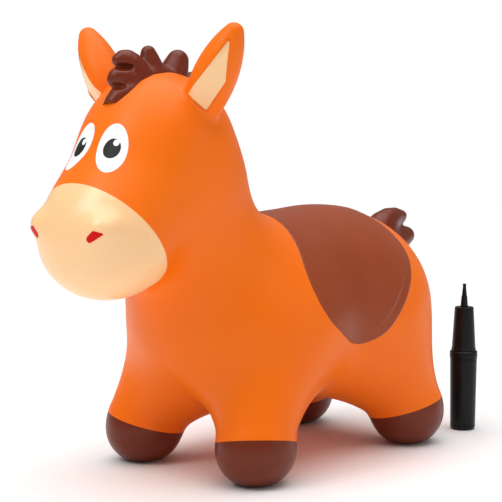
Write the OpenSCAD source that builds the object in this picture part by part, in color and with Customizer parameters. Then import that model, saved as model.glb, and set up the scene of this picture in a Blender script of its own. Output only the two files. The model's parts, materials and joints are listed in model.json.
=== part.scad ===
// Inflatable bouncing horse with its hand pump.
// The horse faces +X, +Y is its left side and Z = 0 is the floor.
// All sizes are millimetres.

/* [Bladder skin] */
// Thickness of the blown vinyl skin
skin_wall = 2.5; // [1.8:0.1:4]
// Thickness of the raised paint patches of eyes and nostrils
patch_t = 0.8; // [0.5:0.1:1.5]

/* [Trunk] */
// Length, width and height of the chest swelling
chest_l = 250; // [220:5:270]
chest_w = 256; // [220:4:280]
chest_h = 232; // [210:2:244]
// Length, width and height of the rump swelling
rump_l = 246; // [220:2:270]
rump_w = 264; // [228:4:288]
rump_h = 232; // [210:2:244]
// Places of the two swellings along the trunk
chest_x = 60; // [40:2:80]
rump_x = -110; // [-130:2:-90]
// Height of the trunk's middle line over the floor
trunk_z = 182; // [172:2:200]

/* [Neck and head] */
// Neck diameters at the withers and at the poll
neck_low_d = 190; // [170:2:210]
neck_top_d = 172; // [150:2:190]
// Cranium length, width and height
cranium_l = 176; // [150:2:200]
cranium_w = 172; // [150:2:200]
cranium_h = 180; // [150:2:200]
// Muzzle depth and width
muzzle_d = 128; // [108:2:150]
muzzle_w = 152; // [130:2:180]
// How far the muzzle is ahead of the cranium, and below it
muzzle_ahead = 86; // [76:2:96]
muzzle_below = 79; // [69:2:89]

/* [Legs] */
// Spacing of front and rear hooves, and of left and right hooves
wheelbase = 287; // [260:2:310]
track = 180; // [170:2:196]
// Diameters of a leg at the hip and at the ankle
hip_d = 150; // [130:2:160]
ankle_d = 88; // [78:2:92]
// Hoof length, width and height of its swelling
hoof_l = 94; // [88:2:104]
hoof_w = 88; // [80:2:98]
hoof_h = 80; // [74:2:90]
// Height of the paint line round a hoof
hoof_line_z = 47; // [42:1:54]

/* [Ears] */
// Ear length from the head, width and thickness
ear_l = 108; // [90:2:126]
ear_w = 48; // [40:2:58]
ear_t = 38; // [28:1:42]
// Ear thickness near its tip
ear_tip_t = 22; // [16:1:26]
// Outward lean from upright and outward turn of the open face
ear_lean = 28; // [22:1:34]
ear_turn = 40; // [30:1:50]
// Length of the soft root on which an ear bends
ear_root_l = 12; // [10:1:18]
// Depth of the pressed-in ear lining
lining_t = 2; // [1.5:0.1:3]

/* [Air valve] */
// Bore of the valve and diameter of its flange
valve_bore_d = 8; // [6:0.5:10]
valve_flange_d = 26; // [22:1:32]
// Depth of the valve tube inside the bladder
valve_depth = 14; // [12:1:20]

/* [Hand pump] */
// Barrel length and its diameters at the base and at the collar
barrel_l = 95; // [80:5:115]
barrel_base_d = 32.5; // [31:0.5:36]
barrel_top_d = 35.5; // [34:0.5:40]
// Bore of the barrel
barrel_bore_d = 29; // [26:0.2:29.2]
// Collar height and diameter
collar_h = 9; // [7:1:12]
collar_d = 36; // [35:0.5:42]
// Grip length, and its diameters at the collar and at the nozzle
grip_l = 57; // [48:1:68]
grip_low_d = 31.8; // [29:0.2:33]
grip_top_d = 24.5; // [21:0.5:27]
// Outer and inner diameter of the air tube
tube_d = 16; // [14:0.5:17]
tube_bore_d = 9; // [8:0.5:10]
// Nozzle socket length, and its diameters below and above
socket_l = 14; // [12:1:18]
socket_low_d = 9.9; // [9:0.1:11]
socket_top_d = 7.6; // [7.2:0.1:8.4]
// Nozzle tip length, its root diameter and its spigot
tip_l = 16; // [14:1:20]
tip_root_d = 6.8; // [6:0.1:7]
spigot_d = 4.4; // [4:0.1:5]
spigot_l = 5; // [4:0.5:7]
// Moulded wall of the pump
pump_wall = 2; // [1.6:0.1:2.4]
// Running clearance of sliding pump parts, on the radius
run_gap = 0.05; // [0.02:0.01:0.09]
// Place of the pump on the floor beside the horse
pump_x = -262; // [-300:2:-255]
pump_y = 100; // [96:2:140]

/* [Hidden] */

LEFT = 1;
RIGHT = -1;
FRONT = 1;
REAR = -1;

orange = [0.98, 0.45, 0.08];
cream = [1.0, 0.80, 0.58];
brown = [0.42, 0.20, 0.13];
far = 400;                 // longer than any half of the horse
zone_over = 0.5;           // how far a zone's cut reaches past the skin
part_gap = 0.3;            // gap between bodies that move on each other
$fn = 64;
skin_facets = 32;
limb_facets = 24;
small_facets = 16;

// Places that follow from the sizes
hoof_mid_x = -8.5;
hoof_mid_z = hoof_h / 2 - 4;
hip_inset = 38;            // hip centre inboard of the hoof centre
hip_z = trunk_z - 32;
front_hip_x = 92;
rear_hip_x = -118;
neck_low = [120, 0, trunk_z + 18];
poll = [170, 0, trunk_z + 138];
cranium_c = [198, 0, trunk_z + 178];
muzzle_c = cranium_c + [muzzle_ahead, 0, -muzzle_below];
muzzle_tilt = 37.5;        // tilt of the painted muzzle line
muzzle_line = muzzle_c + [-14, 0, -4];
ear_root = cranium_c + [0, cranium_w / 2 - 16, 58];
ear_mid_z = ear_l * 0.3;     // where an ear is widest
ear_top_z = ear_l - 10;      // middle of its round tip
tail_tip_r = 8;
tail_reach = 283;
valve_x = -25;

// The origin is under the middle of the whole set, pump and tail included
set_front = muzzle_c[0] + muzzle_d / 2;
set_back = max(tail_reach, -pump_x + collar_d / 2);
frame_x = (set_back - set_front) / 2;

// ---------- bladder forms, grown or shrunk by g ----------

module blob(c, l, w, h, g, facets) {
    translate(c) scale([l / 2 + g, w / 2 + g, h / 2 + g]) sphere(r = 1, $fn = facets);
}

module ball(c, d, g, facets) {
    translate(c) sphere(d = d + 2 * g, $fn = facets);
}

module trunk(g = 0) {
    hull() {
        blob([chest_x, 0, trunk_z], chest_l, chest_w, chest_h, g, skin_facets);
        blob([rump_x, 0, trunk_z], rump_l, rump_w, rump_h, g, skin_facets);
    }
}

module neck(g = 0) {
    hull() {
        ball(neck_low, neck_low_d, g, skin_facets);
        ball(poll, neck_top_d, g, skin_facets);
    }
}

module head(g = 0) {
    hull() {
        blob(cranium_c, cranium_l, cranium_w, cranium_h, g, skin_facets);
        blob(muzzle_c, muzzle_d, muzzle_w, muzzle_d, g, skin_facets);
    }
}

function hoof_c(end, side) = [hoof_mid_x + end * wheelbase / 2, side * track / 2, hoof_mid_z];
function hip_c(end, side) =
    [end == FRONT ? front_hip_x : rear_hip_x, side * (track / 2 - hip_inset), hip_z];

module limb(end, side, g = 0) {
    foot = hoof_c(end, side);
    intersection() {
        union() {
            hull() {
                ball(hip_c(end, side), hip_d, g, limb_facets);
                ball([foot[0], foot[1], hoof_line_z + 5], ankle_d, g, limb_facets);
            }
            blob(foot, hoof_l, hoof_w, hoof_h, g, limb_facets);
        }
        translate([-far, -far, g < 0 ? -g : 0]) cube([2 * far, 2 * far, far]);
    }
}

module cavity() {
    trunk(-skin_wall);
    neck(-skin_wall);
    head(-skin_wall);
    for (end = [FRONT, REAR], side = [LEFT, RIGHT]) limb(end, side, -skin_wall);
}

// ---------- paint zones that divide the skin ----------

module below_hoof_line(end, side) {
    foot = hoof_c(end, side);
    slope = 11;
    translate([foot[0], foot[1], hoof_line_z])
        rotate([side * slope, -end * slope, 0])
            translate([-hoof_l, -hoof_w, -far]) cube([2 * hoof_l, 2 * hoof_w, far]);
}

module ahead_of_muzzle_line() {
    translate(muzzle_line) rotate([0, muzzle_tilt, 0])
        translate([0, -far / 2, -far / 2]) cube([far, far, far]);
}

module saddle_zone() {
    flap_low_z = trunk_z + 25;
    translate([0, far / 2, 0]) rotate([90, 0, 0]) linear_extrude(far) hull() {
        translate([chest_x - 53, trunk_z + 42]) circle(r = 63, $fn = 40);
        translate([rump_x + 92, flap_low_z]) circle(r = 62, $fn = 40);
        translate([rump_x + 20, trunk_z + 76]) circle(r = 44, $fn = 40);
        translate([rump_x - 24, trunk_z + 118]) square([154, 30]);
    }
}

// Square frame on the surface at c whose local X points outwards
module face_at(c, azimuth, elevation) {
    translate(c) rotate([0, -elevation, azimuth]) rotate([90, 0, 90])
        translate([0, 0, -12]) linear_extrude(24) children();
}

// A raised patch on the head with the outline of its child.
// Here and below, resize([0, 0, 0]) keeps every size and turns what follows into one mesh.
module head_patch(c, azimuth, elevation) {
    resize([0, 0, 0]) intersection() {
        difference() {
            head(patch_t);
            head();
        }
        face_at(c, azimuth, elevation) children();
    }
}

module mirrored(side) {
    if (side == LEFT) children();
    else mirror([0, 1, 0]) children();
}

module placed() {
    translate([frame_x, 0, 0]) children();
}

// ---------- bladder skin ----------

module body_skin() {
    color(orange) placed() resize([0, 0, 0]) difference() {
        union() {
            trunk();
            neck();
            head();
        }
        cavity();
        intersection() {
            trunk(zone_over);
            saddle_zone();
        }
        intersection() {
            head(zone_over);
            ahead_of_muzzle_line();
        }
        translate([valve_x, 0, 0]) cylinder(d = valve_flange_d - 8 + 2 * part_gap, h = trunk_z, $fn = 32);
    }
}

module muzzle() {
    color(cream) placed() resize([0, 0, 0]) difference() {
        intersection() {
            head();
            ahead_of_muzzle_line();
        }
        cavity();
    }
}

module saddle() {
    color(brown) placed() resize([0, 0, 0]) difference() {
        intersection() {
            trunk();
            saddle_zone();
        }
        cavity();
        neck();
    }
}

module leg(end, side) {
    color(orange) placed() resize([0, 0, 0]) difference() {
        limb(end, side);
        trunk();
        neck();
        below_hoof_line(end, side);
        limb(end, side, -skin_wall);
    }
}

module hoof(end, side) {
    color(brown) placed() resize([0, 0, 0]) difference() {
        intersection() {
            limb(end, side);
            below_hoof_line(end, side);
        }
        limb(end, side, -skin_wall);
    }
}

// ---------- ears ----------

module ear_leaf() {
    hull() {
        blob([0, 0, 0], ear_t - 4, ear_w - 8, 20, 0, limb_facets);
        blob([0, 0, ear_mid_z], ear_t, ear_w, 40, 0, limb_facets);
        blob([0, 0, ear_top_z], ear_tip_t, 20, 20, 0, limb_facets);
    }
}

module ear_place() {
    translate(ear_root) rotate([-ear_lean, 0, 0]) rotate([0, 0, ear_turn]) children();
}

module lining_outline() {
    hull() {
        translate([4, ear_root_l + 10]) circle(r = 6, $fn = 20);
        translate([-9, ear_root_l + 14]) circle(r = 3, $fn = 12);
        translate([2, ear_l * 0.42]) circle(r = ear_w / 2 - 9, $fn = 28);
        translate([5, ear_l - 18]) circle(r = 1.5, $fn = 12);
    }
}

// The lining plate lies in the open face, seen along local X, and leans back as the ear thins
module lining_plate(t) {
    lean_back = atan((ear_t - ear_tip_t) / 2 / (ear_top_z - ear_mid_z));
    translate([ear_t / 2 - 3 - lining_t, 0, ear_mid_z]) rotate([0, -lean_back, 0])
        translate([0, 0, -ear_mid_z])
            rotate([90, 0, 90]) linear_extrude(t) lining_outline();
}

module ear(side) {
    color(orange) placed() mirrored(side) resize([0, 0, 0]) ear_place() difference() {
        ear_leaf();
        translate([-far, -far, -far]) cube([2 * far, 2 * far, far + ear_root_l]);
        lining_plate(ear_t);
    }
}

module ear_lining(side) {
    color(cream) placed() mirrored(side) resize([0, 0, 0]) ear_place() lining_plate(lining_t);
}

module ear_root_stub(side) {
    color(orange) placed() mirrored(side) resize([0, 0, 0]) difference() {
        ear_place() intersection() {
            ear_leaf();
            translate([-far, -far, -far]) cube([2 * far, 2 * far, far + ear_root_l]);
        }
        head();
        neck();
    }
}

// ---------- mane and tail ----------

module tuft(root, tip, root_r, tip_r) {
    hull() {
        ball(root, 2 * root_r, 0, small_facets);
        ball(tip, 2 * tip_r, 0, small_facets);
    }
}

module mane() {
    top = cranium_c[2] + cranium_h / 2;
    color(brown) placed() resize([0, 0, 0]) difference() {
        union() {
            tuft([238, -6, top - 22], [258, -24, top - 30], 14, 8);
            tuft([232, -4, top - 10], [262, -22, top - 4], 15, 9);
            tuft([226, 0, top], [252, -12, top + 24], 16, 10);
            tuft([208, 0, top - 2], [211, -2, top + 32], 18, 10);
            tuft([182, 0, top - 2], [168, 2, top + 26], 18, 12);
            tuft([162, 0, top - 12], [146, 2, top + 8], 16, 9);
        }
        head();
        neck();
    }
}

module tail() {
    root_z = trunk_z + 62;
    color(brown) placed() resize([0, 0, 0]) difference() {
        union() {
            tuft([-196, 0, root_z], [-236, 0, root_z + 16], 21, 18);
            tuft([-236, 0, root_z + 16], [-258, 0, root_z + 34], 18, 6);
            tuft([-236, 0, root_z + 12], [tail_tip_r - tail_reach, 0, root_z + 2], 18, tail_tip_r);
        }
        trunk();
    }
}

// ---------- eyes and nostrils ----------

eye_c = cranium_c + [92, 24.5, 23];
eye_l = 62;
eye_w = 39;
eye_azimuth = 20;
eye_elevation = 35;
pupil_d = 23;
pupil_at = [0, 0];
glint_at = [4.5, 5.5];     // towards the horse's left on both eyes
glint_d = 7;
nostril_c = muzzle_c + [51, 45, 11];

module eye_outline() {
    scale([eye_w / eye_l, 1]) circle(d = eye_l, $fn = 40);
}

module pupil_outline() {
    translate(pupil_at) circle(d = pupil_d, $fn = 32);
}

module glint_outline(side) {
    translate([side * glint_at[0], glint_at[1]]) circle(d = glint_d, $fn = 20);
}

module nostril_outline() {
    intersection() {
        scale([1.8, 1]) circle(d = 12, $fn = 32);
        translate([-12, -4]) square([24, 12]);
    }
}

module eye_white(side) {
    color("white") placed() mirrored(side) head_patch(eye_c, eye_azimuth, eye_elevation)
        difference() {
            eye_outline();
            pupil_outline();
        }
}

module pupil(side) {
    color([0.06, 0.06, 0.07]) placed() mirrored(side) head_patch(eye_c, eye_azimuth, eye_elevation)
        difference() {
            pupil_outline();
            glint_outline(side);
        }
}

module eye_glint(side) {
    color("white") placed() mirrored(side) head_patch(eye_c, eye_azimuth, eye_elevation)
        glint_outline(side);
}

module nostril(side) {
    color([0.78, 0.08, 0.06]) placed() mirrored(side) head_patch(nostril_c, 32, 10)
        nostril_outline();
}

// ---------- air valve ----------

belly_z = trunk_z - (chest_h / 2 + rump_h / 2) / 2;
valve_r = valve_bore_d / 2;
seat_r = valve_flange_d / 2 - 4;
flange_t = 1.2;

// Turned profile: points are [radius, height]
module turned(points) {
    rotate_extrude() polygon(points);
}

module valve_seat() {
    face = belly_z - 1;
    color([0.9, 0.9, 0.88]) placed() translate([valve_x, 0, face]) turned([
        [valve_r, -flange_t], [seat_r + 4, -flange_t], [seat_r + 4, 0], [seat_r, 0],
        [seat_r, skin_wall + 4], [valve_r + 2, skin_wall + 4], [valve_r + 2, valve_depth],
        [valve_r, valve_depth]
    ]);
}

module valve_plug() {
    face = belly_z - 1 - flange_t - part_gap;
    stem_r = valve_r - run_gap;
    color([0.95, 0.95, 0.93]) placed() translate([valve_x, 0, face]) turned([
        [0, -2.5], [3, -2.5], [3, -2], [8, -2], [9, -1], [9, 0], [stem_r, 0],
        [stem_r, valve_depth - 2], [stem_r - 1, valve_depth], [0, valve_depth]
    ]);
}

// ---------- hand pump, standing on its base ----------

cap_h = 6;
cap_spigot_h = 4;
barrel_bore_r = barrel_bore_d / 2;
tube_r = tube_d / 2;
tube_bore_r = tube_bore_d / 2;
chamber_z = cap_h + cap_spigot_h;
flap_t = 0.6;
piston_z = chamber_z + 2.5;
piston_h = 12;
piston_r = barrel_bore_r - 0.5;
seal_z = piston_z + 4;
seal_h = 4;
seal_depth = 2;
seal_r = barrel_bore_r - run_gap;
collar_z = barrel_l;
collar_spigot_h = 6;
grip_z = collar_z + collar_h + part_gap;
grip_top_z = grip_z + grip_l;
boss_h = 20;
socket_z = grip_top_z;
socket_stem_r = tube_bore_r - 1;
socket_stem_h = 12;
socket_bore_r = 1.6;
tip_z = socket_z + socket_l;
tip_stub_r = 2.6;
tip_stub_h = 6;
tip_bore_r = 1.1;

module pump_place(z = 0) {
    translate([pump_x + frame_x, pump_y, z]) children();
}

module pump_barrel() {
    color([0.07, 0.07, 0.08]) pump_place() turned([
        [barrel_bore_r, cap_h], [barrel_base_d / 2, cap_h],
        [barrel_top_d / 2, collar_z], [barrel_bore_r, collar_z]
    ]);
}

module pump_base_cap() {
    intake_r = 1.2;
    color([0.07, 0.07, 0.08]) pump_place() difference() {
        turned([
            [1.6, 0], [barrel_base_d / 2 - 3, 0], [barrel_base_d / 2 - 1, 1],
            [barrel_base_d / 2, 3], [barrel_base_d / 2, cap_h], [barrel_bore_r, cap_h],
            [barrel_bore_r, chamber_z], [1.6, chamber_z]
        ]);
        for (turn = [0:90:270]) rotate([0, 0, turn]) translate([6, 0, -1])
            cylinder(r = intake_r, h = chamber_z + 2, $fn = 24);
    }
}

module intake_flap() {
    color([0.2, 0.2, 0.2]) pump_place(chamber_z) turned([
        [0, flap_t], [9, flap_t], [9, 0], [1.6, 0], [1.6, -chamber_z + 2], [0, -chamber_z + 2]
    ]);
}

module pump_collar() {
    color([0.07, 0.07, 0.08]) pump_place(collar_z) turned([
        [tube_r + run_gap, -collar_spigot_h], [barrel_bore_r, -collar_spigot_h],
        [barrel_bore_r, 0], [barrel_top_d / 2, 0], [collar_d / 2, 1],
        [collar_d / 2, collar_h - 2], [collar_d / 2 - 1.5, collar_h],
        [tube_r + run_gap, collar_h]
    ]);
}

module pump_grip() {
    low_r = grip_low_d / 2;
    top_r = grip_top_d / 2;
    color([0.07, 0.07, 0.08]) pump_place(grip_z) turned([
        [low_r - pump_wall, 0], [low_r, 0], [low_r, 3], [low_r - 0.6, 4],
        [top_r, grip_l - 1], [top_r - 1, grip_l], [socket_stem_r, grip_l],
        [socket_stem_r, grip_l - pump_wall], [tube_r, grip_l - pump_wall],
        [tube_r, grip_l - boss_h], [tube_r + 1.5, grip_l - boss_h],
        [tube_r + 1.5, grip_l - pump_wall - 2], [top_r - pump_wall, grip_l - pump_wall - 2]
    ]);
}

module pump_tube() {
    low = piston_z + 4;
    color([0.85, 0.85, 0.83]) pump_place() turned([
        [tube_bore_r, low], [tube_r, low], [tube_r, grip_top_z - pump_wall],
        [tube_bore_r, grip_top_z - pump_wall]
    ]);
}

module pump_piston() {
    color([0.85, 0.85, 0.83]) pump_place(piston_z) turned([
        [2, 0], [piston_r, 0], [piston_r, seal_z - piston_z],
        [piston_r - seal_depth, seal_z - piston_z],
        [piston_r - seal_depth, seal_z - piston_z + seal_h],
        [piston_r, seal_z - piston_z + seal_h], [piston_r, piston_h],
        [tube_r, piston_h], [tube_r, 4], [tube_bore_r - 0.5, 4], [tube_bore_r - 0.5, 3],
        [2, 3]
    ]);
}

module piston_seal() {
    color([0.15, 0.15, 0.16]) pump_place(seal_z) turned([
        [piston_r - seal_depth, 0], [seal_r - 0.4, 0], [seal_r, 1],
        [seal_r, seal_h - 1], [seal_r - 0.4, seal_h], [piston_r - seal_depth, seal_h]
    ]);
}

module outlet_flap() {
    color([0.2, 0.2, 0.2]) pump_place(piston_z + 3)
        cylinder(r = tube_bore_r - 0.8, h = flap_t);
}

module nozzle_socket() {
    low_r = socket_low_d / 2;
    top_r = socket_top_d / 2;
    color([0.07, 0.07, 0.08]) pump_place(socket_z) turned([
        [socket_bore_r, -socket_stem_h], [socket_stem_r, -socket_stem_h], [socket_stem_r, 0],
        [low_r, 0], [top_r, socket_l], [tip_stub_r + run_gap, socket_l],
        [tip_stub_r + run_gap, socket_l - tip_stub_h - part_gap],
        [socket_bore_r, socket_l - tip_stub_h - part_gap]
    ]);
}

module nozzle_tip() {
    color([0.07, 0.07, 0.08]) pump_place(tip_z + part_gap) turned([
        [tip_bore_r, -tip_stub_h], [tip_stub_r, -tip_stub_h], [tip_stub_r, 0],
        [tip_root_d / 2, 0], [spigot_d / 2, tip_l - spigot_l], [spigot_d / 2, tip_l],
        [tip_bore_r, tip_l]
    ]);
}

body_skin();
muzzle();
saddle();
mane();
tail();
leg(FRONT, LEFT);  // leg_front_left
leg(FRONT, RIGHT);  // leg_front_right
leg(REAR, LEFT);  // leg_rear_left
leg(REAR, RIGHT);  // leg_rear_right
hoof(FRONT, LEFT);  // hoof_front_left
hoof(FRONT, RIGHT);  // hoof_front_right
hoof(REAR, LEFT);  // hoof_rear_left
hoof(REAR, RIGHT);  // hoof_rear_right
ear(LEFT);  // ear_left
ear(RIGHT);  // ear_right
ear_root_stub(LEFT);  // ear_root_left
ear_root_stub(RIGHT);  // ear_root_right
ear_lining(LEFT);  // ear_lining_left
ear_lining(RIGHT);  // ear_lining_right
eye_white(LEFT);  // eye_white_left
eye_white(RIGHT);  // eye_white_right
pupil(LEFT);  // pupil_left
pupil(RIGHT);  // pupil_right
eye_glint(LEFT);  // eye_glint_left
eye_glint(RIGHT);  // eye_glint_right
nostril(LEFT);  // nostril_left
nostril(RIGHT);  // nostril_right
valve_seat();
valve_plug();
pump_barrel();
pump_base_cap();
pump_collar();
intake_flap();
pump_grip();
pump_tube();
pump_piston();
piston_seal();
outlet_flap();
nozzle_socket();
nozzle_tip();
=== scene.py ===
# %% [markdown]
# # A bouncing horse of blown vinyl, and its hand pump
# The real toy is one rubbery bladder. It is cast in a hollow mould, so it has no seam, and its
# muzzle, saddle, hooves, mane and eyes are sprayed on through masks. This lesson builds the
# bladder as one smooth distance function, turns it into a mesh, cuts that mesh along the paint
# edges, and turns the little plastic pump as a lathe would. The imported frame's mounts give the
# hooves' places, and the boxes of its CAD nodes give the valve and the pump. All other places are
# in millimetres from the middle between the hooves.

# %% Load the frame
import json

import bpy
import numpy as np
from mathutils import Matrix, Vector


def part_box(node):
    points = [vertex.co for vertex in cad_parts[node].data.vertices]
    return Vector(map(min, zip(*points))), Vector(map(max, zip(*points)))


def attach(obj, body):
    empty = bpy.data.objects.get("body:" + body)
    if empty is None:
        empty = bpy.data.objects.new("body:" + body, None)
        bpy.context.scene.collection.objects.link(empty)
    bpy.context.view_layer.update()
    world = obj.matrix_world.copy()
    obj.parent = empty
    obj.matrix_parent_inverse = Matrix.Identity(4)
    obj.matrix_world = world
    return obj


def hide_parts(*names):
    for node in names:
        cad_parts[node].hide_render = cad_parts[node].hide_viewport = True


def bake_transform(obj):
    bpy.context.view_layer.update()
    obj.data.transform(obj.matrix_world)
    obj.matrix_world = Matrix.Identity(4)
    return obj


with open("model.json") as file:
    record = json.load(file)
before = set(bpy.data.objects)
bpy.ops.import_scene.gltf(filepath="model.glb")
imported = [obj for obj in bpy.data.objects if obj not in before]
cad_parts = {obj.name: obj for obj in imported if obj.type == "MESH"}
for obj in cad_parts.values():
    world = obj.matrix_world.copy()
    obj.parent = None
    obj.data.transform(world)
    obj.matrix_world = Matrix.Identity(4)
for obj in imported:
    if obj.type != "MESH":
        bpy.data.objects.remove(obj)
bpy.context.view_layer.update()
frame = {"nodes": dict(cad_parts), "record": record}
MM = 0.001
LEFT, RIGHT = 1, -1
mounts = {mount["name"]: np.array(mount["pos_m"]) for mount in frame["record"]["mounts"]}
front_foot = mounts["sole_front_left"]
rear_foot = mounts["sole_rear_left"]
middle_x = (front_foot[0] + rear_foot[0]) / 2


def place(x, y, z):
    """A point in metres from millimetres: x ahead of the hooves' middle, y left, z up."""
    return np.array([middle_x + x * MM, y * MM, z * MM])


# %% [markdown]
# ## Camera
# A long lens from far away keeps the toy's proportions. The camera stands nearly two metres off,
# at the horse's left front, and looks a little down. It comes first, because the lights are placed
# by it.

# %% Camera
CAMERA_TURN = np.radians(41.9)
CAMERA_RISE = np.radians(6.05)
CAMERA_RANGE = 1.9
LENS_MM = 113.4
SENSOR_MM = 36
AIM = place(46.5, -4.4, 250.6)
TOWARDS_CAMERA = np.array([
    np.cos(CAMERA_TURN) * np.cos(CAMERA_RISE),
    np.sin(CAMERA_TURN) * np.cos(CAMERA_RISE),
    np.sin(CAMERA_RISE),
])


def look_at(thing, start, target):
    """Puts a camera or a light at start and turns its -Z axis to target."""
    thing.location = Vector(start)
    thing.rotation_euler = Vector(target - start).to_track_quat("-Z", "Y").to_euler()


def make_camera():
    """A long lens on a sphere round the point that it looks at."""
    data = bpy.data.cameras.new("camera")
    data.lens = LENS_MM
    data.sensor_width = SENSOR_MM
    camera = bpy.data.objects.new("camera", data)
    bpy.context.scene.collection.objects.link(camera)
    look_at(camera, AIM + TOWARDS_CAMERA * CAMERA_RANGE, AIM)
    bpy.context.scene.camera = camera
    print("camera at", np.round(camera.location, 3))


make_camera()

# %% [markdown]
# ## Distance functions
# A blown shape has no edges, so it is easier to say how far a point is from it than to draw it.
# Two plain solids are enough: an ellipsoid, and a cone with round ends. `melt` joins two of them
# with a fillet, which is just what air pressure does to soft vinyl.


# %% Distances
def ellipsoid(p, centre, radii):
    """Nearly the distance to an ellipsoid: how many radii off, turned back into a length."""
    q = p - centre
    off = np.linalg.norm(q / radii, axis=1)
    steep = np.linalg.norm(q / radii**2, axis=1)
    return off * (off - 1) / np.maximum(steep, 1e-9)


def round_cone(p, a, b, radius_a, radius_b):
    """Distance to two balls and the cone that wraps them: to a cap, or to the flank between."""
    along = b - a
    length2 = along @ along
    taper = radius_a - radius_b
    flank2 = length2 - taper**2
    from_a = p - a
    reach = from_a @ along
    beyond = reach - length2
    side2 = ((from_a * length2 - reach[:, None] * along) ** 2).sum(1)
    lean = np.sign(taper) * taper**2 * side2
    flank = (np.sqrt(side2 * flank2 / length2) + reach * taper) / length2 - radius_a
    cap_b = np.sqrt(side2 + beyond**2 * length2) / length2 - radius_b
    cap_a = np.sqrt(side2 + reach**2 * length2) / length2 - radius_a
    result = np.where(np.sign(beyond) * flank2 * beyond**2 * length2 > lean, cap_b, flank)
    return np.where(np.sign(reach) * flank2 * reach**2 * length2 < lean, cap_a, result)


def melt(a, b, reach):
    """The smaller of two distances, lowered by a parabola where they are nearly equal."""
    close = np.maximum(reach - np.abs(a - b), 0) / reach
    return np.minimum(a, b) - close**2 * reach / 4


print("a 40 mm fillet fills a joint by", -melt(0.0, 0.0, 40), "mm")

# %% [markdown]
# ## Cuts, bends and outlines
# `carve` is the opposite of `melt`: it cuts one shape with another and rounds the edge of the cut.
# A horn is a string of round cones on a bent line. An outline of paint is the convex hull of a few
# circles, so that it has round corners of the sizes that are wanted.


# %% Cuts, bends and outlines
def carve(a, b, reach):
    """The larger of two distances, with the same parabola: a cut with a rounded edge."""
    return -melt(-a, -b, reach)


def horn(p, root, bend, tip, root_radius, tip_radius, links=5):
    """A bent, tapering horn: round cones along the arc root, bend, tip, which is a parabola."""
    t = np.linspace(0, 1, links + 1)[:, None]
    arc = (1 - t) ** 2 * root + 2 * t * (1 - t) * bend + t**2 * tip
    radius = root_radius + (tip_radius - root_radius) * t[:, 0]
    pieces = [
        round_cone(p, arc[i], arc[i + 1], radius[i], radius[i + 1]) for i in range(links)
    ]
    return np.minimum.reduce(pieces)


HULL_DIRECTIONS = 90


def hull_distance(u, v, circles):
    """Distance to the convex hull of circles (u, v, radius), all in mm: the most that the point
    sticks out past the hull in any direction of the plane."""
    turn = np.linspace(0, 2 * np.pi, HULL_DIRECTIONS, endpoint=False)
    compass = np.stack([np.cos(turn), np.sin(turn)])
    circles = np.array(circles)
    reach = (circles[:, :2] @ compass + circles[:, 2:]).max(axis=0)
    return ((np.stack([u, v], axis=1) / MM) @ compass - reach).max(axis=1) * MM


def folded(p):
    """The same points with the horse's right half laid over its left half."""
    return np.stack([p[:, 0], np.abs(p[:, 1]), p[:, 2]], axis=1)


def ramp(x, width):
    """A soft step from 0 to 1 as x goes from 0 to the width."""
    t = np.clip(x / width, 0, 1)
    return t * t * (3 - 2 * t)


print("a soft step at a quarter of its width", ramp(0.25, 1))

# %% [markdown]
# ## The bladder
# Two big swellings make the trunk, round cones make the neck and the legs, and two ellipsoids
# make the head. The fillets matter as much as the sizes. The trunk's is 140 mm, so that chest and
# rump read as one barrel, and the hooves' is only 12 mm, so that they keep their bulge over the
# floor.

# %% Bladder
CHEST = place(68.5, 0, 180), np.array([105, 112, 102]) * MM
RUMP = place(-101.5, 0, 184), np.array([122, 117, 108]) * MM
CRANIUM = place(206.5, 0, 360), np.array([88, 86, 90]) * MM
BROW = place(208, 0, 396), np.array([66, 72, 62]) * MM
SNOUT = place(292.5, 0, 281), np.array([64, 76, 64]) * MM
TRUNK_FILLET, HEAD_FILLET = 140 * MM, 30 * MM
SKULL_FILLET, BROW_FILLET = 90 * MM, 40 * MM
NECK = place(128.5, 0, 200), place(178.5, 0, 320), 88 * MM, 82 * MM
NECK_FILLET = 50 * MM
HOOF_RADII = np.array([47, 44, 40]) * MM
HOOF_FILLET, SOLE_EDGE = 12 * MM, 4 * MM
LEG_RADII = 66 * MM, 43 * MM
LEG_FILLET = 70 * MM
LEGS = {"front": (front_foot, place(93.5, 52, 150)), "rear": (rear_foot, place(-96.5, 52, 150))}
HOOF_LIFT = np.array([0, 0, 36 * MM])
ANKLE_LIFT = np.array([0, 0, 52 * MM])
NOSTRIL = place(343.5, 45, 292)
FLARE = NOSTRIL + np.array([-11, 0, 8]) * MM, np.array([15, 17, 12]) * MM
FLARE_FILLET = 16 * MM
valve_low, valve_high = [np.array(corner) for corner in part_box("valve_seat")]
VALVE = (valve_low + valve_high) / 2
VALVE_BOSS_RADII = np.array([34, 34, 22]) * MM
VALVE_BOSS_FILLET = 14 * MM
VALVE_FLANGE_T = 1.2 * MM


def trunk(p):
    """Chest and rump swellings with the longest fillet of all."""
    return melt(ellipsoid(p, *CHEST), ellipsoid(p, *RUMP), TRUNK_FILLET)


def torso(p):
    """Trunk, neck, four legs down to the ankles, and the flat boss round the air valve."""
    q = folded(p)
    d = trunk(p)
    for foot, hip in LEGS.values():
        d = melt(d, round_cone(q, hip, foot + ANKLE_LIFT, *LEG_RADII), LEG_FILLET)
    d = melt(d, round_cone(p, *NECK), NECK_FILLET)
    boss = np.array([VALVE[0], 0, valve_low[2] + VALVE_FLANGE_T + VALVE_BOSS_RADII[2]])
    return melt(d, ellipsoid(p, boss, VALVE_BOSS_RADII), VALVE_BOSS_FILLET)


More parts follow.
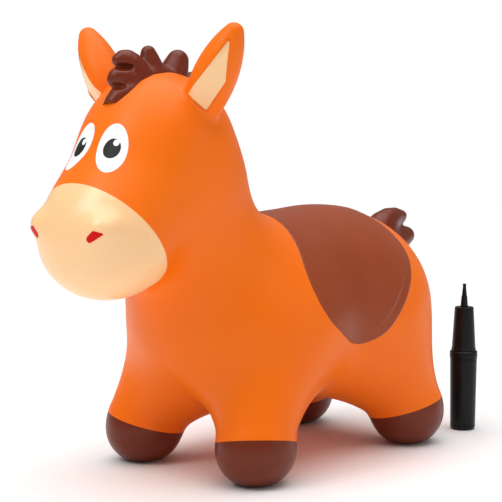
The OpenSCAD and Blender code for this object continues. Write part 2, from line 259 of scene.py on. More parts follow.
def head(p):
    """Cranium and snout, a brow that fills the top of the skull, and a flare over each nostril."""
    skull = melt(ellipsoid(p, *CRANIUM), ellipsoid(p, *SNOUT), SKULL_FILLET)
    skull = melt(skull, ellipsoid(p, *BROW), BROW_FILLET)
    return melt(skull, ellipsoid(folded(p), *FLARE), FLARE_FILLET)


print("left hooves at", np.round(front_foot, 4), np.round(rear_foot, 4))
print("air valve at", np.round(VALVE, 4))

# %% [markdown]
# ## The ears as part of the bladder
# An ear is a fat leaf: a string of round cones up a spine, widest at two fifths of its height and
# flattened where it leaves the skull. A facet with straight edges is pressed into the side that
# faces forward. The ear has axes of its own, so that its numbers read as out of its face, across
# it and up along it.

# %% Ear leaf
EAR_ROOT = place(206.5, 70, 418)
EAR_LEAN = np.radians(28)
EAR_TURN = np.radians(34)
EAR_GIRTH = np.array([(-4, 18), (20, 23), (38, 24.8), (62, 22.3), (80, 17.8), (97, 11)])
EAR_BALLS = 13
EAR_ACROSS = (0, 97), (-5.5, -1)
EAR_BACK = 1.5 * MM
EAR_SQUEEZE = 1.35
SQUEEZE_FROM, SQUEEZE_OVER = 5 * MM, 30 * MM
EAR_SLOPE = 1.1
EAR_FILLET = 8 * MM
EAR_FACET = [(-21.5, 19, 0.8), (2.5, 9.5, 0.8), (11, 50, 0.8), (-1.5, 92, 0.8)]
FACET_FRONT, FACET_CREST, FACET_BOW = 19 * MM, 50 * MM, 4.5
FACET_CORNER, FACET_EDGE = 0.6 * MM, 1.2 * MM


def ear_spine():
    """Balls up the ear: a cubic through the chosen pairs of height and radius gives the radii."""
    up = np.linspace(EAR_GIRTH[0, 0], EAR_GIRTH[-1, 0], EAR_BALLS)
    radii = np.polyval(np.polyfit(*EAR_GIRTH.T, 3), up)
    return np.stack([0 * up, np.interp(up, *EAR_ACROSS), up], axis=1) * MM, radii * MM


def ear_axes():
    """Rows are the left ear's own axes: out of its face, across it, and up along it."""
    lean, turn = -EAR_LEAN, EAR_TURN
    tip_out = np.array([
        [1, 0, 0],
        [0, np.cos(lean), -np.sin(lean)],
        [0, np.sin(lean), np.cos(lean)],
    ])
    face_out = np.array([
        [np.cos(turn), -np.sin(turn), 0],
        [np.sin(turn), np.cos(turn), 0],
        [0, 0, 1],
    ])
    return (tip_out @ face_out).T


EAR_AXES = ear_axes()
EAR_SPINE, EAR_RADII = ear_spine()


def ear_space(q):
    """Points of the left half as seen from the left ear's root, along its own axes."""
    return (q - EAR_ROOT) @ EAR_AXES.T


def ear(q):
    """The nearest of the round cones, squeezed at the root, less a facet that is flat across the
    ear and bows a little along it. Dividing by EAR_SLOPE makes up for part of the squeeze."""
    local = ear_space(q)
    across, up = local[:, 1], local[:, 2]
    squeeze = EAR_SQUEEZE + (1 - EAR_SQUEEZE) * ramp(up - SQUEEZE_FROM, SQUEEZE_OVER)
    plump = np.stack([(local[:, 0] + EAR_BACK) * squeeze, across, up], axis=1)
    leaf = np.full(len(q), 1.0)
    for i in range(EAR_BALLS - 1):
        cone = round_cone(plump, EAR_SPINE[i], EAR_SPINE[i + 1], EAR_RADII[i], EAR_RADII[i + 1])
        leaf = np.minimum(leaf, cone)
    outline = hull_distance(across, up, EAR_FACET)
    floor = FACET_FRONT - FACET_BOW * (up - FACET_CREST) ** 2 - local[:, 0]
    facet = carve(outline, floor, FACET_CORNER)
    return carve(leaf / EAR_SLOPE, -facet, FACET_EDGE)


def bladder(p):
    """The whole blown shape, flat under the hooves."""
    q = folded(p)
    d = melt(torso(p), head(p), HEAD_FILLET)
    for foot, _ in LEGS.values():
        d = melt(d, ellipsoid(q, foot + HOOF_LIFT, HOOF_RADII), HOOF_FILLET)
    d = carve(d, -p[:, 2], SOLE_EDGE)
    near_ear = q[:, 2] > EAR_ROOT[2] - 60 * MM
    leaf = np.full(len(p), 1.0)
    leaf[near_ear] = ear(q[near_ear])
    return melt(d, leaf, EAR_FILLET)


print("ear radii from root to tip in mm", np.round(EAR_RADII / MM, 1))

# %% [markdown]
# ## Paint masks and the relief under them
# On the real toy a metal mask covers what is to stay orange. Here each mask is a function that is
# positive under the paint and is about a distance near its edge, so that a mesh can be cut right
# on the edge. The mould also has a little relief there: the saddle stands a millimetre proud, and
# has a welt along its rear edge like a real saddle's cantle.

# %% Masks
SADDLE_OUTLINE = [
    (15.5, 224, 63),
    (-9.5, 207, 62),
    (-81.5, 258, 44),
    (23.5, 330, 5),
    (-120.5, 330, 5),
]
SADDLE_RAISE = 1.0 * MM
CANTLE_INSET = 12 * MM
CANTLE_RAISE = 1.6 * MM
CANTLE_FROM, CANTLE_OVER = -10 * MM, 60 * MM
MUZZLE_AHEAD, MUZZLE_DOWN, MUZZLE_START = 0.794, 0.608, 52.8 * MM
MUZZLE_CORNER = 22 * MM
HOOF_LINE_Z = 47.3 * MM
HOOF_LINE_RISE = 0.2


def saddle_mask(p):
    """One outline seen from the side, which ends above the belly, pushed through the horse."""
    return -hull_distance(p[:, 0] - middle_x, p[:, 2], SADDLE_OUTLINE)


def muzzle_mask(p):
    """Ahead of a sloping plane, and on the head rather than on the neck, with a round corner."""
    plane = MUZZLE_AHEAD * (p[:, 0] - middle_x) - MUZZLE_DOWN * p[:, 2] - MUZZLE_START
    return -carve(-plane, -0.5 * (torso(p) - head(p)), MUZZLE_CORNER)


def from_foot(p):
    """How far each point is past the middle of its nearest hoof, along the horse and aside."""
    out = np.abs(p[:, 0] - middle_x) - (front_foot[0] - middle_x)
    return out, np.abs(p[:, 1]) - front_foot[1]


def hoof_mask(p):
    """Below a plane over each hoof that rises outwards."""
    out, aside = from_foot(p)
    return HOOF_LINE_Z + HOOF_LINE_RISE * (out + aside) - p[:, 2]


def relief(p):
    """How far the mould's relief lifts the skin: soft steps at the saddle's edge and its cantle."""
    lift = np.zeros(len(p))
    here = (p[:, 2] > 130 * MM) & (p[:, 0] < middle_x + 90 * MM)
    mask = saddle_mask(p[here])
    rearward = ramp(middle_x + CANTLE_FROM - p[here, 0], CANTLE_OVER)
    lift[here] = SADDLE_RAISE * ramp(mask + 1 * MM, 3 * MM)
    lift[here] += CANTLE_RAISE * ramp(mask - CANTLE_INSET, 4 * MM) * rearward
    return lift


def skin(p):
    """The bladder with its relief."""
    return bladder(p) - relief(p)


seat_top = np.array([[middle_x - 30 * MM, 0, 300 * MM]])
print("the skin is", np.round(skin(seat_top)[0] / MM, 1), "mm below a point over the saddle")

# %% [markdown]
# ## From a distance to a mesh
# Blender could make a mesh from metaballs or with a remesh, but neither puts corners exactly on
# the surface. A surface net does it in a few array steps: one corner in each grid cube that the
# surface crosses, and one square round each grid edge that it crosses. Newton's method then slides
# every corner onto the surface, and the gradient there is the exact normal.

# %% Slopes
SLICE = 150_000
GRADIENT_STEP = 0.1 * MM


def sample(field, p):
    """The field at many points, in slices, so that memory stays small."""
    return np.concatenate([field(p[i:i + SLICE]) for i in range(0, len(p), SLICE)])


def gradient(field, p):
    """Slope of the field by central differences along the three axes."""
    steps = np.eye(3) * GRADIENT_STEP
    rises = [sample(field, p + step) - sample(field, p - step) for step in steps]
    return np.stack(rises, axis=1) / (2 * GRADIENT_STEP)


def unit(v):
    """Vectors at length 1."""
    return v / np.maximum(np.linalg.norm(v, axis=1, keepdims=True), 1e-12)


def settle(p, field, limit, rounds=3):
    """Newton's method: step down the gradient by value over slope, never past the limit."""
    for _ in range(rounds):
        g = gradient(field, p)
        step = g * (sample(field, p) / np.maximum((g**2).sum(1), 1e-6))[:, None]
        size = np.linalg.norm(step, axis=1, keepdims=True)
        p = p - step * np.minimum(1, limit / np.maximum(size, 1e-12))
    return p


# %% Surface net
def net(field, low, high, cell):
    """Surface net of a field in a box: its corners, and its squares as rows of four."""
    low = np.array(low)
    count = np.ceil((np.array(high) - low) / cell).astype(int) + 1
    nodes = np.stack(np.meshgrid(*[np.arange(n) for n in count], indexing="ij"), axis=-1)
    value = sample(field, low + nodes.reshape(-1, 3) * cell).reshape(count)
    total = np.zeros((*(count - 1), 3))
    crossings = np.zeros(count - 1)
    for axis in range(3):
        unit_step = np.eye(3, dtype=int)[axis]
        for pair in np.ndindex(2, 2):
            corner = np.insert(pair, axis, 0)
            a = value[tuple(slice(c, n - 1 + c) for c, n in zip(corner, count))]
            b = value[tuple(slice(c, n - 1 + c) for c, n in zip(corner + unit_step, count))]
            crossed = (a < 0) != (b < 0)
            share = np.where(crossed, a / np.where(crossed, a - b, 1), 0)
            total += crossed[..., None] * corner + share[..., None] * unit_step
            crossings += crossed
    used = crossings > 0
    index = np.full(used.shape, -1)
    index[used] = np.arange(used.sum())
    points = low + (np.argwhere(used) + total[used] / crossings[used][:, None]) * cell
    return points, np.concatenate([net_squares(value, index, count, axis) for axis in range(3)])


def net_squares(value, index, count, axis):
    """Squares round the crossed grid edges along one axis, wound to face out of the shape."""
    u, v = (axis + 1) % 3, (axis + 2) % 3

    def cubes(du, dv):
        cut = [slice(None)] * 3
        cut[u] = slice(du, count[u] - 2 + du)
        cut[v] = slice(dv, count[v] - 2 + dv)
        return index[tuple(cut)]

    inner = [slice(1, n - 1) for n in count]
    inner[axis] = slice(0, count[axis] - 1)
    a = value[tuple(inner)]
    inner[axis] = slice(1, count[axis])
    b = value[tuple(inner)]
    crossed = (a < 0) != (b < 0)
    squares = np.stack([cubes(0, 0), cubes(1, 0), cubes(1, 1), cubes(0, 1)], axis=-1)[crossed]
    inward = ~(a < 0)[crossed]
    squares[inward] = squares[inward][:, ::-1]
    return squares


def triangles(p, squares):
    """Each square split along its shorter diagonal."""
    a, b, c, d = squares.T
    short = np.linalg.norm(p[a] - p[c], axis=1) < np.linalg.norm(p[b] - p[d], axis=1)
    one = np.where(short[:, None], np.stack([a, b, c], 1), np.stack([a, b, d], 1))
    two = np.where(short[:, None], np.stack([a, c, d], 1), np.stack([b, c, d], 1))
    return np.concatenate([one, two])


def skin_mesh(field, low, high, cell):
    """Settled corners and triangles of a field in a box."""
    p, squares = net(field, low, high, cell)
    p = settle(p, field, cell / 2)
    return p, triangles(p, squares)


# %% [markdown]
# ## Cutting along a paint edge
# Splitting triangles where a mask changes sign gives an edge as clean as the real mask's. Corners
# that are already close to the edge slide onto it first, or they would leave slivers. The new
# corners are shared by both sides, so that no gap can open between two paints.

# %% Cut
SNAP = 0.3


def on_edge(p, field, mask, limit):
    """Points pulled onto the line where the surface and the mask's edge meet."""
    for _ in range(3):
        g = gradient(mask, p)
        normal = unit(gradient(field, p))
        g = g - normal * (g * normal).sum(1)[:, None]
        step = g * (sample(mask, p) / np.maximum((g**2).sum(1), 1e-6))[:, None]
        size = np.linalg.norm(step, axis=1, keepdims=True)
        p = p - step * np.minimum(1, limit / np.maximum(size, 1e-12))
        p = settle(p, field, limit, rounds=1)
    return p


def middle_corners(p, tris, f, crossing, field, mask, cell):
    """One new corner for each crossed edge, shared by the triangles on both sides of that edge.
    Gives all the corners, their mask values and the new corner of each triangle's edge."""
    edges = np.stack([tris, np.roll(tris, -1, axis=1)], axis=-1)[crossing]
    keys, edge_of = np.unique(np.sort(edges, axis=1), axis=0, return_inverse=True)
    a, b = keys.T
    share = (f[a] / (f[a] - f[b]))[:, None]
    new_points = on_edge(p[a] + share * (p[b] - p[a]), field, mask, cell / 2)
    middle = np.full(tris.shape, -1)
    middle[crossing] = len(p) + edge_of.ravel()
    return np.concatenate([p, new_points]), np.concatenate([f, np.zeros(len(new_points))]), middle


def turned(columns, first):
    """Rows of three, each turned so that its column first comes first."""
    return np.take_along_axis(columns, (first[:, None] + np.arange(3)) % 3, 1)


def split(tris, crossing, middle):
    """Triangles with one crossed edge become two, and those with two become three. Gives the new
    triangles and the rows that they came from."""
    count = crossing.sum(axis=1)
    whole, single, double = [np.flatnonzero(count == n) for n in range(3)]
    first = crossing[single].argmax(axis=1)
    a, b, c = turned(tris[single], first).T
    m = turned(middle[single], first)[:, 0]
    halves = [np.stack([a, m, c], 1), np.stack([m, b, c], 1)]
    first = ((~crossing[double]).argmax(axis=1) + 2) % 3
    a, b, c = turned(tris[double], first).T
    m, _, n = turned(middle[double], first).T
    thirds = [np.stack([a, m, n], 1), np.stack([m, b, c], 1), np.stack([m, c, n], 1)]
    rows = np.concatenate([whole, single, single, double, double, double])
    return np.concatenate([tris[whole], *halves, *thirds]), rows


def cut(p, tris, label, field, mask, cell):
    """Splits the triangles that a mask's edge crosses. Gives the corners, the triangles, their
    labels, and for each triangle whether it is under the mask."""
    f = sample(mask, p)
    near = np.abs(f) < SNAP * cell
    p = p.copy()
    p[near] = on_edge(p[near], field, mask, cell)
    f[near] = 0
    side = np.sign(f[tris])
    crossing = (side * np.roll(side, -1, axis=1)) < 0
    p, f, middle = middle_corners(p, tris, f, crossing, field, mask, cell)
    tris, rows = split(tris, crossing, middle)
    return p, tris, label[rows], f[tris].sum(axis=1) > 0


print("corners closer to an edge than", SNAP, "of a cell slide onto it")

# %% [markdown]
# ## From a surface to a solid wall
# The real skin is a little over two millimetres thick, so each painted piece gets an inner
# wall and a rim, and is a closed solid. Blender would guess normals from the faces, and a seam
# would show where two orange pieces meet. The exact normals from the gradient are stored instead,
# so the light runs over the joint as if it weren't there.

# %% Wall
WALL = 2.2 * MM


def put_mesh(name, p, faces, normals):
    """A mesh object from corners, rows of face corners and one normal for each face corner."""
    mesh = bpy.data.meshes.new(name)
    sizes = np.concatenate([np.full(len(rows), rows.shape[1]) for rows in faces])
    corners = np.concatenate([rows.ravel() for rows in faces]).astype(np.int32)
    mesh.vertices.add(len(p))
    mesh.vertices.foreach_set("co", p.astype(np.float32).ravel())
    mesh.loops.add(len(corners))
    mesh.loops.foreach_set("vertex_index", corners)
    mesh.polygons.add(len(sizes))
    starts = np.concatenate([[0], np.cumsum(sizes)[:-1]]).astype(np.int32)
    mesh.polygons.foreach_set("loop_start", starts)
    mesh.update(calc_edges=True)
    mesh.shade_smooth()
    if normals is not None:
        mesh.normals_split_custom_set(normals.astype(np.float32))
    thing = bpy.data.objects.new(name, mesh)
    bpy.context.scene.collection.objects.link(thing)
    return thing


def compact(p, tris):
    """Only the corners that the triangles use."""
    used, index = np.unique(tris, return_inverse=True)
    return p[used], index.reshape(tris.shape)


def rim_edges(tris):
    """Edges that belong to one triangle only, in that triangle's direction."""
    edges = np.stack([tris, np.roll(tris, -1, axis=1)], axis=-1).reshape(-1, 2)
    big = tris.max() + 1
    there, back = edges[:, 0] * big + edges[:, 1], edges[:, 1] * big + edges[:, 0]
    return edges[~np.isin(there, back)]


def walled(name, p, tris, field, wall=WALL):
    """A closed piece: the surface, the same surface moved in by the wall, and a rim between."""
    p, tris = compact(p, tris)
    normal = unit(gradient(field, p))
    count = len(p)
    rim = rim_edges(tris)
    rim_faces = np.stack([rim[:, 1], rim[:, 0], rim[:, 0] + count, rim[:, 1] + count], axis=1)
    corners = np.concatenate([p, p - normal * wall])
    across = corners[rim_faces[:, 0]] - corners[rim_faces[:, 1]]
    rim_normal = unit(np.cross(across, normal[rim[:, 0]]))
    inner = tris[:, ::-1] + count
    normals = np.concatenate([
        normal[tris.ravel()],
        -normal[(inner - count).ravel()],
        np.repeat(rim_normal, 4, axis=0),
    ])
    piece = put_mesh(name, corners, [tris, inner, rim_faces], normals)
    print(name, "triangles", 2 * len(tris) + 2 * len(rim), "rim edges", len(rim))
    return piece


def solid(name, p, tris, field):
    """A closed piece that needs no inner wall."""
    p, tris = compact(p, tris)
    normal = unit(gradient(field, p))
    print(name, "triangles", len(tris), "open edges", len(rim_edges(tris)))
    return put_mesh(name, p, [tris], normal[tris.ravel()])


print("wall of the bladder in mm", WALL / MM)

# %% [markdown]
# ## Finishes
# All the vinyl shares three effects, each a small node group that is built once: the orange-peel
# texture that a rotation mould leaves, a slow drift of the colour where the spray is thicker, and
# patches where hands have made the matt surface smoother. They read Object coordinates, because
# every piece's object sits at the frame's origin, so the pattern runs on over the paint edges.


# %% Node groups
def new_group(name, inputs, output, output_type):
    """An empty shader group with number inputs and one output."""
    group = bpy.data.node_groups.new(name, "ShaderNodeTree")
    for label, kind, value in inputs:
        socket = group.interface.new_socket(label, in_out="INPUT", socket_type=kind)
        socket.default_value = value
    group.interface.new_socket(output, in_out="OUTPUT", socket_type=output_type)
    return group


def add(tree, kind, **values):
    """One node with some of its inputs or properties set."""
    node = tree.nodes.new(kind)
    for key, value in values.items():
        if hasattr(node, key):
            setattr(node, key, value)
        else:
            node.inputs[key.replace("_", " ")].default_value = value
    return node


def noise(tree, scale_socket, detail):
    """Noise on Object coordinates, with its scale from a socket."""
    place_node = add(tree, "ShaderNodeTexCoord")
    texture = add(tree, "ShaderNodeTexNoise", Detail=detail)
    tree.links.new(place_node.outputs["Object"], texture.inputs["Vector"])
    tree.links.new(scale_socket, texture.inputs["Scale"])
    return texture.outputs["Fac"]


def make_peel_group():
    """Normal with fine, soft bumps: noise through a Bump node."""
    group = new_group(
        "moulded_skin",
        [("Grains per metre", "NodeSocketFloat", 420), ("Height", "NodeSocketFloat", 0.05)],
        "Normal",
        "NodeSocketVector",
    )
    source, sink = add(group, "NodeGroupInput"), add(group, "NodeGroupOutput")
    bump = add(group, "ShaderNodeBump", Distance=0.001)
    group.links.new(noise(group, source.outputs[0], 2), bump.inputs["Height"])
    group.links.new(source.outputs[1], bump.inputs["Strength"])
    group.links.new(bump.outputs["Normal"], sink.inputs[0])
    return group


def make_spray_group():
    """Colour between the thin and the thick paint, by slow noise."""
    group = new_group(
        "spray_drift",
        [
            ("Thin", "NodeSocketColor", (1, 1, 1, 1)),
            ("Thick", "NodeSocketColor", (1, 1, 1, 1)),
            ("Clouds per metre", "NodeSocketFloat", 9),
        ],
        "Color",
        "NodeSocketColor",
    )
    source, sink = add(group, "NodeGroupInput"), add(group, "NodeGroupOutput")
    mix = add(group, "ShaderNodeMix", data_type="RGBA")
    group.links.new(noise(group, source.outputs[2], 2), mix.inputs["Factor"])
    group.links.new(source.outputs[0], mix.inputs[6])
    group.links.new(source.outputs[1], mix.inputs[7])
    group.links.new(mix.outputs[2], sink.inputs[0])
    return group


def make_wear_group():
    """Roughness between handled and untouched, by noise in patches of a few centimetres."""
    group = new_group(
        "handled_sheen",
        [
            ("Handled", "NodeSocketFloat", 0.3),
            ("Untouched", "NodeSocketFloat", 0.4),
            ("Patches per metre", "NodeSocketFloat", 25),
        ],
        "Roughness",
        "NodeSocketFloat",
    )
    source, sink = add(group, "NodeGroupInput"), add(group, "NodeGroupOutput")
    mix = add(group, "ShaderNodeMix", data_type="FLOAT")
    group.links.new(noise(group, source.outputs[2], 3), mix.inputs["Factor"])
    group.links.new(source.outputs[0], mix.inputs[2])
    group.links.new(source.outputs[1], mix.inputs[3])
    group.links.new(mix.outputs[0], sink.inputs[0])
    return group


PEEL, SPRAY, WEAR = make_peel_group(), make_spray_group(), make_wear_group()
print("groups", [group.name for group in (PEEL, SPRAY, WEAR)])

# %% [markdown]
# ## Paints and plastics
# Every finish is one recipe with its own colours for a thin and a thick coat, the roughness of
# handled and untouched places, and the gloss. The muzzle's cream shines most. The saddle's brown
# is painted lighter than the hooves' brown, a painted highlight for the light that falls on its
# top from above.


# %% Finishes
def linear(red, green, blue):
    """Linear colour from the usual 0 to 255 display values."""
    c = np.array([red, green, blue]) / 255
    straight = np.where(c <= 0.04045, c / 12.92, ((c + 0.055) / 1.055) ** 2.4)
    return (*straight, 1)


PLAIN_GLOSS = 0.2


def moulded(name, thin, thick, handled, untouched, grains=420, height=0.05, gloss=PLAIN_GLOSS):
    """A moulded plastic: drifting colour, drifting roughness and a fine skin."""
    material = bpy.data.materials.new(name)
    material.use_nodes = True
    tree = material.node_tree
    shader = tree.nodes["Principled BSDF"]
    spray = add(tree, "ShaderNodeGroup", node_tree=SPRAY)
    spray.inputs["Thin"].default_value = linear(*thin)
    spray.inputs["Thick"].default_value = linear(*thick)
    wear = add(tree, "ShaderNodeGroup", node_tree=WEAR)
    wear.inputs["Handled"].default_value = handled
    wear.inputs["Untouched"].default_value = untouched
    peel = add(tree, "ShaderNodeGroup", node_tree=PEEL)
    peel.inputs["Grains per metre"].default_value = grains
    peel.inputs["Height"].default_value = height
    tree.links.new(spray.outputs[0], shader.inputs["Base Color"])
    tree.links.new(wear.outputs[0], shader.inputs["Roughness"])
    tree.links.new(peel.outputs[0], shader.inputs["Normal"])
    shader.inputs["Specular IOR Level"].default_value = gloss
    return material


FINISHES = {
    "orange_vinyl": moulded("orange_vinyl", (250, 120, 14), (242, 106, 4), 0.34, 0.46),
    "cream_vinyl": moulded("cream_vinyl", (254, 212, 160), (252, 196, 138), 0.24, 0.34, gloss=0.5),
    "brown_vinyl": moulded("brown_vinyl", (116, 44, 16), (102, 34, 10), 0.28, 0.40, gloss=0.3),
    # The saddle's lighter brown is a painted highlight: the same brown vinyl as the hooves, painted
    # as if lit from above.
    "saddle_brown_painted_toplit": moulded("saddle_brown_painted_toplit", (156, 72, 36), (140, 60, 28), 0.30, 0.42, gloss=0.22),
    "white_paint": moulded("white_paint", (250, 250, 250), (244, 244, 246), 0.22, 0.3, height=0.02),
    "pupil_paint": moulded("pupil_paint", (22, 22, 24), (34, 35, 38), 0.3, 0.4,
                           height=0.02, gloss=0.12),
    "red_paint": moulded("red_paint", (214, 4, 2), (198, 0, 0), 0.3, 0.4, height=0.02, gloss=0.12),
    "valve_vinyl": moulded("valve_vinyl", (232, 230, 222), (222, 219, 208), 0.3, 0.4),
    "pump_black": moulded("pump_black", (18, 19, 22), (12, 13, 15), 0.28, 0.4, 1500, 0.03),
    "pump_natural": moulded("pump_natural", (226, 224, 216), (214, 211, 200), 0.35, 0.45, 900),
    "pump_rubber": moulded("pump_rubber", (44, 44, 47), (34, 34, 36), 0.55, 0.7, 1800),
}


def finish_piece(piece, slot, finish=None):
    """Gives a piece its material, by default the slot's own."""
    piece.data.materials.clear()
    piece.data.materials.append(FINISHES[finish or slot])
    return piece


print("finishes", len(FINISHES))

# %% [markdown]
# ## Skin, saddle, muzzle, legs and hooves
# The bladder is meshed once, and the mesh is then cut along each mask: at the ears' roots, at the
# paint of the muzzle, the saddle and the hooves, along the planes where the legs begin to give,
# round the air valve, and down the middle. The real skin stretches at the legs when a child
# bounces, and a leg that blended from the floor to the trunk would need its hoof to blend in the
# same way, or a gap would open under the ankle. Here each leg and hoof is only baked in place.

# %% Bladder pieces
SKIN_CELL = 3.0 * MM
EAR_CUT, EAR_REACH, EAR_MIDDLE = 7 * MM, 30 * MM, -4 * MM
VALVE_HOLE_R, BELLY_TOP = 8 * MM, 90 * MM
GIVE_FOOT_Z = 55 * MM
GIVE_SLANT = np.array([-43, -38, 95]) * MM
GIVE_FROM, GIVE_TO = 0.057, 0.547


def ear_mask(p):
    """Above the plane across an ear's root, and near that ear."""
    local = ear_space(folded(p))
    aside = np.hypot(local[:, 0], local[:, 1] - EAR_MIDDLE)
    return np.minimum(local[:, 2] - EAR_CUT, EAR_REACH - aside)


def give(p):
    """How far up a leg's slanted axis a point is: 0 at the foot, 1 at the axis's end."""
    out, aside = from_foot(p)
    from_start = np.stack([out, aside, p[:, 2] - GIVE_FOOT_Z], axis=1)
    return (from_start @ GIVE_SLANT) / (GIVE_SLANT @ GIVE_SLANT)


def leg_mask(p):
    """The part of the skin that gives when the horse is sat on, as a length before the end."""
    return (GIVE_TO - give(p)) * np.linalg.norm(GIVE_SLANT)


def middle_mask(p):
    """The left half of the horse."""
    return p[:, 1]


def valve_mask(p):
    """A round hole under the air valve, on the belly."""
    return np.minimum(VALVE_HOLE_R - np.hypot(p[:, 0] - VALVE[0], p[:, 1]), BELLY_TOP - p[:, 2])


BODY, MUZZLE, SADDLE, LEG, HOOF, DROPPED = range(6)


def make_bladder():
    """Meshes the skin, cuts it along every mask and returns its labelled triangles."""
    low = place(-240, -142, -4)
    high = place(366, 142, 470)
    p, tris = skin_mesh(skin, low, high, SKIN_CELL)
    label = np.full(len(tris), BODY)
    for mask, name, over in (
        (ear_mask, DROPPED, (BODY,)),
        (muzzle_mask, MUZZLE, (BODY,)),
        (saddle_mask, SADDLE, (BODY,)),
        (leg_mask, LEG, (BODY,)),
        (hoof_mask, HOOF, (LEG,)),
        (valve_mask, DROPPED, (BODY,)),
    ):
        p, tris, label, under = cut(p, tris, label, skin, mask, SKIN_CELL)
        label[under & np.isin(label, over)] = name
    p, tris, label, left = cut(p, tris, label, skin, middle_mask, SKIN_CELL)
    print("bladder triangles", len(tris), "by label", np.bincount(label))
    return p, tris, label, left


skin_points, skin_tris, skin_label, skin_left = make_bladder()


def skin_piece(name, slot, rows, node, finish=None):
    """A walled piece of the bladder that stands for a CAD node."""
    piece = walled(name, skin_points, skin_tris[rows], skin)
    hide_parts(node)
    return finish_piece(piece, slot, finish)


for name, node, label, slot, finish in (
    ("bladder_skin", "body_skin", BODY, "orange_vinyl", "orange_vinyl"),
    ("bladder_muzzle", "muzzle", MUZZLE, "cream_vinyl", "cream_vinyl"),
    # The saddle takes the lighter brown, a painted highlight for the light from above.
    ("bladder_saddle", "saddle", SADDLE, "brown_vinyl", "saddle_brown_painted_toplit"),
):
    piece = skin_piece(name, slot, skin_label == label, node, finish)
    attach(piece, "horse")


def blend_leg(piece):
    """Bakes the piece's placement into its mesh; no blend from the floor to the horse is set up."""
    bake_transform(piece)


skin_ahead = skin_points[skin_tris].mean(axis=1)[:, 0] > middle_x
for end in LEGS:
    for side, side_name in ((LEFT, "left"), (RIGHT, "right")):
        corner = (skin_left == (side == LEFT)) & (skin_ahead == (end == "front"))
        for label, part, slot in ((LEG, "leg", "orange_vinyl"), (HOOF, "hoof", "brown_vinyl")):
            node = f"{part}_{end}_{side_name}"
            piece = skin_piece("bladder_" + node, slot, corner & (skin_label == label), node)
            blend_leg(piece)

# %% [markdown]
# ## Ears
# An ear is part of the same bladder, but its facet has crisp edges that need a finer net. The
# left ear is meshed from the same distance function, cut off at the same plane as the skin was,
# and mirrored for the right one. The cream lining is cut from the facet's floor. An ear is soft
# and bends at its root, but here each ear is only baked in place, with no blend set up.

# %% Ears
EAR_CELL = 1.5 * MM
LINING_INSET = 0.5 * MM
EAR_LENGTH = 100 * MM
ROOM_BELOW, ROOM_ABOVE = 44 * MM, 34 * MM


def lining_mask(p):
    """The facet's floor: inside its outline and on the ear's open face."""
    local = ear_space(p)
    inside = -LINING_INSET - hull_distance(local[:, 1], local[:, 2], EAR_FACET)
    return np.minimum(inside, local[:, 0])


def make_ear():
    """The left ear above its root plane: corners, triangles, and which of them are lining."""
    corners = np.array([EAR_ROOT, EAR_ROOT + EAR_LENGTH * EAR_AXES[2]])
    low, high = corners.min(axis=0) - ROOM_BELOW, corners.max(axis=0) + ROOM_ABOVE
    p, tris = skin_mesh(skin, low, high, EAR_CELL)
    p, tris, _, above = cut(p, tris, np.zeros(len(tris), int), skin, ear_mask, EAR_CELL)
    p, tris = compact(p, tris[above])
    p, tris, _, lining = cut(p, tris, np.zeros(len(tris), int), skin, lining_mask, EAR_CELL)
    return p, tris, lining


ear_points, ear_tris, ear_lining = make_ear()


def place_ears():
    """Both ears and their linings, each baked in place."""
    for side, side_name in ((LEFT, "left"), (RIGHT, "right")):
        flip = np.array([1, side, 1])
        tris = ear_tris if side == LEFT else ear_tris[:, ::-1]
        for name, slot, rows, nodes in (
            ("ear_leaf_", "orange_vinyl", ~ear_lining, ("ear_", "ear_root_")),
            ("ear_facet_", "cream_vinyl", ear_lining, ("ear_lining_",)),
        ):
            piece = walled(name + side_name, ear_points * flip, tris[rows], skin)
            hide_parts(*[node + side_name for node in nodes])
            finish_piece(piece, slot)
            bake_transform(piece)


place_ears()

# %% [markdown]
# ## Mane and tail
# The forelock is a row of fat vinyl tufts, like flames: three curl forward over the brow and
# three stand up behind them, all on one crest. Each is a bent horn. They melt together only a
# little, so that dark creases stay between them, and three shallow scoops are pressed into their
# front. The tail is made in the same way from two horns that melt more. The rows give root, bend
# and tip, and then the radii at root and tip, all in millimetres.

# %% Mane and tail
TUFT_CELL = 1.6 * MM
ROOT_DEPTH, ROOT_EDGE = 3 * MM, 1 * MM
MANE_FILLET, TAIL_FILLET, SCOOP_EDGE = 3 * MM, 15 * MM, 2 * MM
MANE_TUFTS = [
    ((252, -6, 420), (242, -4, 466), (200, 0, 448), 17, 22),
    ((244, 2, 440), (264, 2, 441), (271, -6, 423), 18, 11),
    ((244, -2, 446), (259, -4, 463), (264, -8, 455), 18, 9),
    ((236, -2, 454), (244, -6, 482), (254, -11, 476), 18, 8.5),
    ((216, 0, 446), (216, -1, 468), (219, -2, 484), 21, 8.5),
    ((192, 0, 444), (182, 1, 463), (177, 2, 476), 21, 12.5),
    ((170, 0, 436), (158, 2, 450), (155, 2, 455), 17, 9),
]
MANE_SCOOPS = [(262, 4, 469), (276, 6, 448), (281, -2, 426)]
SCOOP_RADII = np.array([13, 12, 4.5]) * MM
TAIL_TUFTS = [
    ((-184, 0, 238), (-210, 0, 281), (-248, 0, 275), 26, 8),
    ((-196, 0, 232), (-230, 0, 241), (-259, 0, 248), 27, 12),
]


def tufts(p, shapes, fillet):
    """Bent horns melted together, ending a little way inside the skin."""
    d = np.full(len(p), 1.0)
    for root, bend, tip, root_radius, tip_radius in shapes:
        points = [place(*point) for point in (root, bend, tip)]
        d = melt(d, horn(p, *points, root_radius * MM, tip_radius * MM), fillet)
    return carve(d, -ROOT_DEPTH - bladder(p), ROOT_EDGE)


def mane(p):
    """The crest and the six tufts, with a scoop under each of the three that curl forward."""
    d = tufts(p, MANE_TUFTS, MANE_FILLET)
    for middle in MANE_SCOOPS:
        d = carve(d, -ellipsoid(p, place(*middle), SCOOP_RADII), SCOOP_EDGE)
    return d


def tail(p):
    """The two tufts of the tail."""
    return tufts(p, TAIL_TUFTS, TAIL_FILLET)


